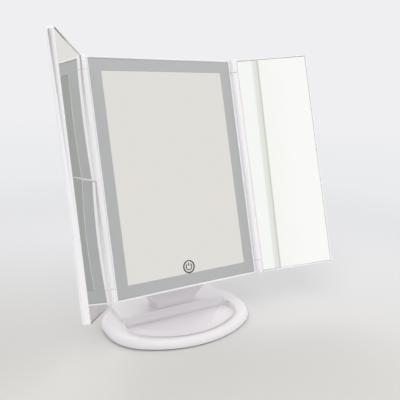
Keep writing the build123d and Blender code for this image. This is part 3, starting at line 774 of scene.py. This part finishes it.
def pane(
    width: float,
    height: float,
    thickness: float,
    dish: float = 0.0,
    edge: float = 0.35,
) -> bpy.types.Object:
    """Glass pane with a ground edge, its front face at z = 0, dished on request.

    Args:
        width: Size along X in millimetres.
        height: Size along Y in millimetres.
        thickness: Glass thickness in millimetres.
        dish: Radius of the concave face in millimetres, or 0 for a flat pane.
        edge: Width of the ground edge in millimetres.

    Returns:
        The pane as a mesh object at the origin.
    """
    deselect()
    steps = DISH_STEPS if dish else FLAT_STEPS
    bpy.ops.mesh.primitive_grid_add(x_subdivisions=steps[0], y_subdivisions=steps[1], size=1.0)
    piece = bpy.context.active_object
    edit(piece, lambda: bpy.ops.transform.resize(value=(width * MM, height * MM, 1.0)))
    if dish:
        corner = math.hypot(width, height) / 2
        rim = dish - math.sqrt(dish ** 2 - corner ** 2)
        for vertex in piece.data.vertices:
            reach = math.hypot(vertex.co.x, vertex.co.y) / MM
            vertex.co.z = (dish - math.sqrt(dish ** 2 - reach ** 2) - rim) * MM
    apply_modifier(piece, "SOLIDIFY", thickness=thickness * MM, offset=-1.0)
    apply_modifier(piece, "BEVEL", width=edge * MM, segments=1, limit_method="ANGLE",
                   angle_limit=CORNER)
    smooth(piece, GLASS_CREASE)
    return piece


# Sub-assemblies


@dataclass
class TrayBase:
    """Tray base with its cover, door and feet."""

    body: str = "base"

    def build(self) -> None:
        """Builds the base."""
        # The tray shell takes the darker copy of the white plastic, which is painted shade.
        moulded("base_top_shell", "tray_shell", self.body, "base_plastic")
        moulded("base_bottom_cover", "under_cover", self.body, "under_plastic")
        moulded("battery_door", "bay_door", "battery_door", "under_plastic")
        moulded("rubber_feet", "feet", self.body, "foot_rubber")
        CrossRecess().build("base_screws", "cover_screws", self.body, Vector((0, 0, -1)))


@dataclass
class Neck:
    """Neck shells with the tilt hinge, socket and switch."""

    body: str = "base"

    def build(self) -> None:
        """Builds the neck."""
        # The neck takes the darker copy of the white plastic, which is painted shade.
        moulded("neck_front_shell", "neck_front", self.body, "base_plastic")
        moulded("neck_rear_cover", "neck_back", self.body, "base_plastic")
        moulded("hinge_caps", "cheek_caps", self.body, "base_plastic")
        moulded("usb_socket", "socket_shell", self.body, "contact_metal")
        moulded("usb_tongue", "socket_tongue", self.body, "black_plastic")
        moulded("switch_body", "switch_case", self.body, "black_plastic")
        moulded("switch_slider", "switch_knob", "switch_slider", "black_plastic")
        moulded("tilt_bracket", "tilt_knuckle", "head", "inner_plastic")
        moulded("friction_washers", "hinge_washers", self.body, "black_plastic")
        moulded("tilt_shaft", "hinge_shaft", self.body, "screw_steel")
        CrossRecess().build("neck_cover_screws", "neck_screw_set", self.body, Vector((0, 1, 0)))


@dataclass
class Head:
    """Centre frame with its glass, light band, key and rear cover.

    Attributes:
        glass: Half width and half height of the glass, in millimetres.
        band: Width of the etched band.
        thickness: Thickness of the glass.
        seam: Width lost to the line between band and clear pane, on both sides together.
        edge: Width of the eased edge along that line.
    """

    body: str = "head"
    glass: tuple[float, float] = (83.0, 120.5)
    band: float = 12.2
    thickness: float = 3.0
    seam: float = 0.1
    edge: float = 0.12

    def mirror(self) -> None:
        """Clear pane in the middle."""
        half_x, half_y = self.glass
        clear = pane(2 * (half_x - self.band) - self.seam, 2 * (half_y - self.band) - self.seam,
                     self.thickness, edge=self.edge)
        place(clear, POSE.panel())
        settle(clear, "clear_mirror", self.body, "mirror_glass", "center_mirror")

    def etched_band(self) -> None:
        """Etched ring round the clear pane, made by an inset."""
        half_x, half_y = self.glass
        deselect()
        bpy.ops.mesh.primitive_plane_add(size=1.0)
        ring = bpy.context.active_object

        def shape() -> None:
            """Turns the plane into a flat ring."""
            bpy.ops.transform.resize(value=(2 * half_x * MM, 2 * half_y * MM, 1.0))
            bpy.ops.mesh.inset(thickness=self.band * MM)
            bpy.ops.mesh.delete(type="FACE")

        edit(ring, shape)
        apply_modifier(ring, "SOLIDIFY", thickness=self.thickness * MM, offset=-1.0)
        apply_modifier(ring, "BEVEL", width=self.edge * MM, segments=1, limit_method="ANGLE",
                       angle_limit=CORNER)
        smooth(ring, GLASS_CREASE)
        place(ring, POSE.panel())
        settle(ring, "etched_band", self.body, "frosted_glass", "light_band")

    def build(self) -> None:
        """Builds the head."""
        moulded("center_frame", "middle_frame", self.body, "shell_plastic")
        moulded("head_rear_cover", "middle_back", self.body, "shell_plastic")
        self.mirror()
        self.etched_band()
        moulded("touch_icon", "key_sign", self.body, "icon_print")
        rear = POSE.panel().to_3x3() @ Vector((0, 0, -1))
        CrossRecess().build("head_screws", "back_screws", self.body, rear)


@dataclass(frozen=True)
class WingPane:
    """One mirror of a wing.

    Attributes:
        node: Node of the model.
        name: Name of the new piece.
        low: Lower end along the wing, in millimetres.
        high: Upper end along the wing.
        dish: Radius of the concave face, or 0 for a flat pane.
    """

    node: str
    name: str
    low: float
    high: float
    dish: float = 0.0


@dataclass
class Wing:
    """One folding wing.

    Attributes:
        side: Side of the head.
        fold: Angle folded in from flat, in degrees.
        panes: Mirrors of the wing.
        near: Edge of the glass nearest the hinge line, in millimetres.
        far: Edge of the glass furthest from it.
        face: Front of the glass from the hinge line.
        thickness: Thickness of the glass.
    """

    side: Side
    fold: float
    panes: Sequence[WingPane]
    near: float = 4.95
    far: float = 87.45
    face: float = -0.7
    thickness: float = 1.8

    def mirrors(self) -> None:
        """Panes of the wing."""
        middle = self.side.value * (self.near + self.far) / 2
        for part in self.panes:
            glass = pane(self.far - self.near, part.high - part.low, self.thickness, part.dish)
            spot = Vector((middle, (part.low + part.high) / 2, self.face)) * MM
            place(glass, POSE.wing(self.side, self.fold) @ Matrix.Translation(spot))
            settle(glass, part.name, f"{self.side.name.lower()}_wing", "mirror_glass", part.node)

    def build(self) -> None:
        """Builds the wing."""
        body = f"{self.side.name.lower()}_wing"
        moulded(f"{body}_shell", f"{body}_front", body, "shell_plastic")
        moulded(f"{body}_back", f"{body}_rear", body, "shell_plastic")
        self.mirrors()


# Studio


@dataclass(frozen=True)
class Lamp:
    """Soft square lamp.

    Attributes:
        name: Name of the lamp.
        at: Place in metres.
        size: Edge length in metres.
        power: Power in watts.
        color: Colour of the light.
        aim: Point that it faces, in metres.
    """

    name: str
    at: Point
    size: float
    power: float
    color: Color
    aim: Point = (0.0, 0.0, 0.12)

    def build(self) -> None:
        """Adds the lamp."""
        data = bpy.data.lights.new(self.name, "AREA")
        data.size = self.size
        data.energy = self.power
        data.color = self.color
        lamp = bpy.data.objects.new(self.name, data)
        bpy.context.scene.collection.objects.link(lamp)
        turn = (Vector(self.aim) - Vector(self.at)).to_track_quat("-Z", "Y")
        lamp.matrix_world = Matrix.Translation(self.at) @ turn.to_matrix().to_4x4()
        lamp.visible_glossy = False


@dataclass(frozen=True)
class Room:
    """Pale surroundings: one colour for the camera, a soft room for reflections.

    Attributes:
        seen: Colour behind the object.
        light: Colour of the soft light.
        strength: Strength of the soft light.
        wall: Tones across the pale wall, by share of its width.
        wall_across: Direction across the pale wall.
        wall_ends: Where the pale wall's tones start and end along it.
        side_wall: Tone of the wall beside it.
        side_ends: X of a direction where the side wall gives way to the pale wall.
        corner: Tone of the dim corner.
        corner_x: X of a direction where the corner starts and is full.
        corner_y: Y of a direction where the corner starts and is full.
    """

    seen: Tone = (239, 239, 242)
    light: Tone = (243, 242, 242)
    strength: float = 0.74
    wall: Sequence[tuple[float, Tone]] = (
        (0.0, (252, 253, 252)),
        (0.36, (250, 252, 250)),
        (0.40, (234, 236, 231)),
        (0.465, (228, 230, 223)),
        (0.485, (202, 204, 196)),
        (0.51, (250, 251, 248)),
        (1.0, (254, 255, 253)),
    )
    wall_across: Point = (0.9978, -0.0664, 0.0061)
    wall_ends: tuple[float, float] = (-0.05, 0.05)
    side_wall: Tone = (229, 227, 223)
    side_ends: tuple[float, float] = (0.30, 0.05)
    corner: Tone = (166, 169, 166)
    corner_x: tuple[float, float] = (0.60, 0.68)
    corner_y: tuple[float, float] = (-0.1, -0.3)

    def reflected(self, bench: NodeBench) -> bpy.types.NodeSocket:
        """Colour of the room that the mirrors show.

        Args:
            bench: Tree of the world.

        Returns:
            The colour by direction.
        """
        toward = bench.add("ShaderNodeTexCoord").outputs["Generated"]
        parts = bench.add("ShaderNodeSeparateXYZ")
        bench.feed(parts.inputs["Vector"], toward)
        x, y = parts.outputs["X"], parts.outputs["Y"]
        across = bench.span(bench.along(toward, self.wall_across), self.wall_ends)
        pale = bench.ramp(across, self.wall)
        walls = bench.colors(bench.span(x, self.side_ends, True), rgba(srgb(*self.side_wall)),
                             pale)
        dim = bench.maths("MULTIPLY", bench.span(x, self.corner_x, True),
                          bench.span(y, self.corner_y, True))
        return bench.colors(dim, walls, rgba(srgb(*self.corner)))

    def build(self) -> None:
        """Sets up the world."""
        world = bpy.data.worlds.new("room")
        bpy.context.scene.world = world
        world.use_nodes = True
        world.node_tree.nodes.clear()
        bench = NodeBench(world.node_tree)
        rays = bench.add("ShaderNodeLightPath")
        soft = bench.background(rgba(srgb(*self.light)), self.strength)
        mirror = bench.background(self.reflected(bench))
        seen = bench.background(rgba(srgb(*self.seen)))
        indirect = bench.shaders(rays.outputs["Is Glossy Ray"], soft, mirror)
        final = bench.shaders(rays.outputs["Is Camera Ray"], indirect, seen)
        bench.feed(bench.add("ShaderNodeOutputWorld").inputs["Surface"], final)


@dataclass(frozen=True)
class Floor:
    """Pale floor that takes the object's shadow and fades into the background.

    Attributes:
        size: Edge length in metres.
        depth: Direction away from the camera along the floor.
        depth_ends: Where the floor's tones start and end along it, in metres.
        paper_and_painted_light: Tones of the floor near the object, lighter away from the camera:
            pale grey with painted light laid over it.
        fade_ends: Distance from the middle where the fade starts and is full.
        far_ends: Distance from the middle where the far tones start and end.
        far: Tones of the faded floor.
        roughness: Roughness of the floor.
        shine: Strength of its reflection.
    """

    size: float = 40.0
    depth: Point = (0.52, 0.85, 0.0)
    depth_ends: tuple[float, float] = (-0.10, 0.30)
    paper_and_painted_light: Sequence[tuple[float, Tone]] = ((0.0, (212, 211, 208)), (1.0, (222, 223, 226)))
    fade_ends: tuple[float, float] = (0.26, 0.60)
    far_ends: tuple[float, float] = (0.3, 2.0)
    far: Sequence[tuple[float, Tone]] = (
        (0.0, (224, 224, 225)),
        (0.3, (234, 235, 237)),
        (1.0, (239, 239, 242)),
    )
    roughness: float = 0.8
    shine: float = 0.1

    def looks(self) -> bpy.types.Material:
        """Paper near the object and the background's colour far from it."""
        material, shader = principled("floor_paper")
        bench = NodeBench(material.node_tree)
        where = bench.add("ShaderNodeTexCoord").outputs["Object"]
        # Painted light: the floor's tone runs lighter away from the camera.
        near = bench.ramp(bench.span(bench.along(where, self.depth), self.depth_ends), self.paper_and_painted_light)
        bench.feed(shader.inputs["Base Color"], near)
        shader.inputs["Roughness"].default_value = self.roughness
        shader.inputs["Specular IOR Level"].default_value = self.shine
        away = bench.add("ShaderNodeVectorMath", operation="LENGTH")
        bench.feed(away.inputs[0], where)
        rays = bench.add("ShaderNodeLightPath")
        seen = rays.outputs["Is Camera Ray"]
        for kind in ("Is Glossy Ray", "Is Transmission Ray"):
            seen = bench.maths("MAXIMUM", seen, rays.outputs[kind])
        fade = bench.span(away.outputs["Value"], self.fade_ends, True)
        glow = bench.add("ShaderNodeEmission")
        bench.feed(glow.inputs["Color"],
                   bench.ramp(bench.span(away.outputs["Value"], self.far_ends), self.far))
        out = next(n for n in material.node_tree.nodes if n.type == "OUTPUT_MATERIAL")
        blend = bench.shaders(bench.maths("MULTIPLY", fade, seen), shader.outputs[0],
                              glow.outputs[0])
        bench.feed(out.inputs["Surface"], blend)
        return material

    def build(self) -> None:
        """Adds the floor."""
        deselect()
        bpy.ops.mesh.primitive_plane_add(size=self.size)
        floor = bpy.context.active_object
        floor.name = "floor"
        floor.data.materials.append(self.looks())


@dataclass(frozen=True)
class Studio:
    """Floor, light and camera.

    Attributes:
        focal: Focal length in pixels.
        pixels: Width of the frame that it is given for.
        sensor: Width of the sensor in millimetres.
        camera_at: Place of the camera in metres.
        right: Right-hand direction of the picture.
        up: Upward direction of the picture.
        lamps: The lamps.
    """

    focal: float = 520.0
    pixels: float = 400.0
    sensor: float = 36.0
    camera_at: Point = (-0.2613, -0.4573, 0.2845)
    right: Point = (0.8572, -0.5138, 0.0347)
    up: Point = (0.105, 0.2404, 0.965)
    lamps: Sequence[Lamp] = (
        Lamp("key", (-1.2, -1.3, 1.9), 1.6, 20.0, (1.0, 0.995, 0.985)),
        Lamp("fill", (1.5, -0.9, 1.4), 1.8, 15.0, (1.0, 0.997, 0.99)),
        Lamp("back", (0.2, 1.6, 1.6), 1.6, 10.8, (1.0, 1.0, 1.0)),
    )

    def camera(self) -> None:
        """Camera at the photograph's place."""
        data = bpy.data.cameras.new("view")
        data.sensor_width = self.sensor
        data.lens = self.focal * self.sensor / self.pixels
        data.clip_start = 0.01
        camera = bpy.data.objects.new("view", data)
        bpy.context.scene.collection.objects.link(camera)
        right = Vector(self.right).normalized()
        back = right.cross(Vector(self.up)).normalized()
        up = back.cross(right)
        turn = Matrix((right, up, back)).transposed().to_4x4()
        camera.matrix_world = Matrix.Translation(self.camera_at) @ turn
        bpy.context.scene.camera = camera

    def build(self) -> None:
        """Sets up the whole studio."""
        bpy.context.scene.view_settings.view_transform = "Standard"
        Floor().build()
        Room().build()
        for lamp in self.lamps:
            lamp.build()
        self.camera()


def dress_inner_nodes() -> None:
    """Gives every node that is still shown its slot's material."""
    slots = {part["node"]: part["material_slot"] for part in frame["record"]["subparts"]}
    for node, thing in frame["nodes"].items():
        WARDROBE.dress(thing, slots[node])


def main() -> None:
    """Builds the mirror and its studio."""
    logging.basicConfig(level=logging.INFO, format="%(message)s")
    dress_inner_nodes()
    TrayBase().build()
    Neck().build()
    Head().build()
    half, split, gap = 121.15, -1.8, 0.85
    Wing(Side.LEFT, POSE.left_fold, (
        WingPane("left_upper_mirror", "upper_pane", split + gap, half, dish=2400.0),
        WingPane("left_lower_mirror", "lower_pane", -half, split - gap, dish=1600.0),
    )).build()
    right = WingPane("right_mirror", "right_pane", -half, half)
    Wing(Side.RIGHT, POSE.right_fold, (right,)).build()
    Studio().build()


if __name__ == "__main__":
    main()
